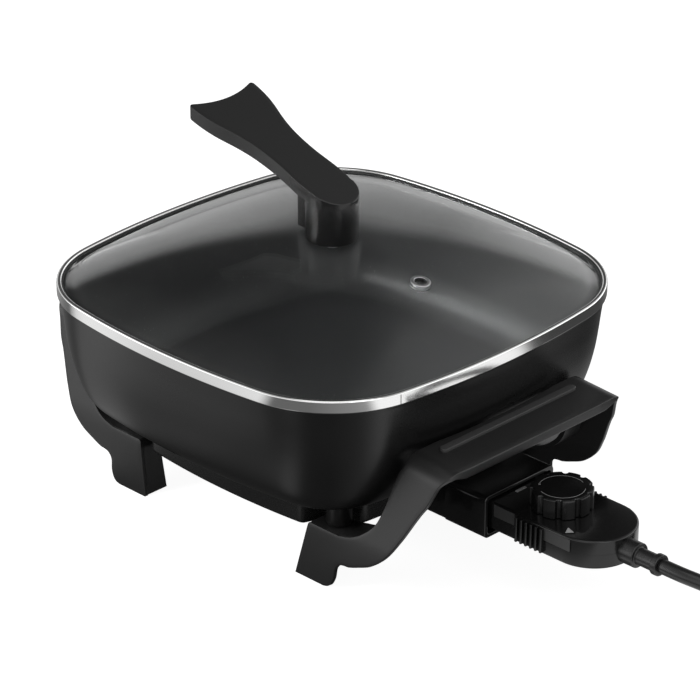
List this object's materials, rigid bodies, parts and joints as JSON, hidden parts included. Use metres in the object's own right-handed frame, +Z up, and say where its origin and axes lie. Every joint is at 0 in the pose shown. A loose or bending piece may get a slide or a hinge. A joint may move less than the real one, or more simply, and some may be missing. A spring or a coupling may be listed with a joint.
{
  "type": "electric skillet",
  "caption": "Square electric skillet: cast pan on two moulded handle legs, lift-off glass lid with a paddle handle, plug-in heat control with a dial and cord.",
  "frame": {"origin": "on the surface it stands on, under the middle of the skillet with its heat control plugged in, cord not counted", "axes": "+X towards the heat control, -Y the front, +Z up"},
  "size_m": [0.6204, 0.3081, 0.2403],
  "materials": {
    "pan": "die-cast, satin black non-stick coat",
    "cover": "pressed steel, satin black",
    "leg": "black phenolic, fine matte",
    "control": "black phenolic, gloss",
    "dial": "black, satin gloss",
    "handle": "black phenolic, matte",
    "steel": "polished stainless steel",
    "screws": "zinc plated",
    "brass": "nickel plated",
    "glass": "clear tempered",
    "gasket": "black silicone",
    "element": "oxidised sheath",
    "ceramic": "unglazed ceramic",
    "lens": "clear, unlit",
    "rubber": "black, satin",
    "tie": "black strap"
  },
  "bodies": {
    "base": {"pan_body": "pan", "heater_cover": "cover", "heating_element": "element", "terminal_pin_front": "steel", "terminal_pin_rear": "steel", "sensor_receptacle": "steel", "socket_housing": "control", "handle_leg_right": "leg", "handle_leg_left": "leg", "leg_screw_1": "screws", "leg_screw_2": "screws", "leg_screw_3": "screws", "leg_screw_4": "screws", "cover_screw_1": "screws", "socket_screw_1": "screws", "cover_screw_2": "screws", "socket_screw_2": "screws"},
    "lid": {"lid_rim_band": "steel", "lid_gasket": "gasket", "lid_glass": "glass", "vent_eyelet": "steel", "lid_handle": "handle", "handle_seal": "gasket", "handle_washer": "screws", "handle_screw": "screws"},
    "heat_control": {"control_upper_shell": "control", "control_lower_shell": "control", "thermostat_unit": "ceramic", "contact_sleeve_front": "brass", "contact_sleeve_rear": "brass", "sensor_rod": "steel", "indicator_lens": "lens", "indicator_lamp": "lens", "control_screw_1": "screws", "control_screw_2": "screws", "strain_relief": "rubber", "cord": "rubber", "cord_coil": "rubber", "cord_tie": "tie", "plug_body": "rubber", "plug_pin_1": "brass", "plug_pin_2": "brass"},
    "dial": {"dial": "dial", "dial_shaft": "steel"}
  },
  "joints": [
    {"name": "lid_lift", "type": "slide", "parent": "base", "child": "lid", "axis": [0, 0, 1], "range_m": [0, 0.15]},
    {"name": "control_pull", "type": "slide", "parent": "base", "child": "heat_control", "axis": [1, 0, 0], "range_m": [0, 0.12]},
    {"name": "dial_turn", "type": "hinge", "parent": "heat_control", "child": "dial", "pos_m": [0.1606, 0, 0.0575], "axis": [0, 0, -1], "range_deg": [0, 280]}
  ]
}
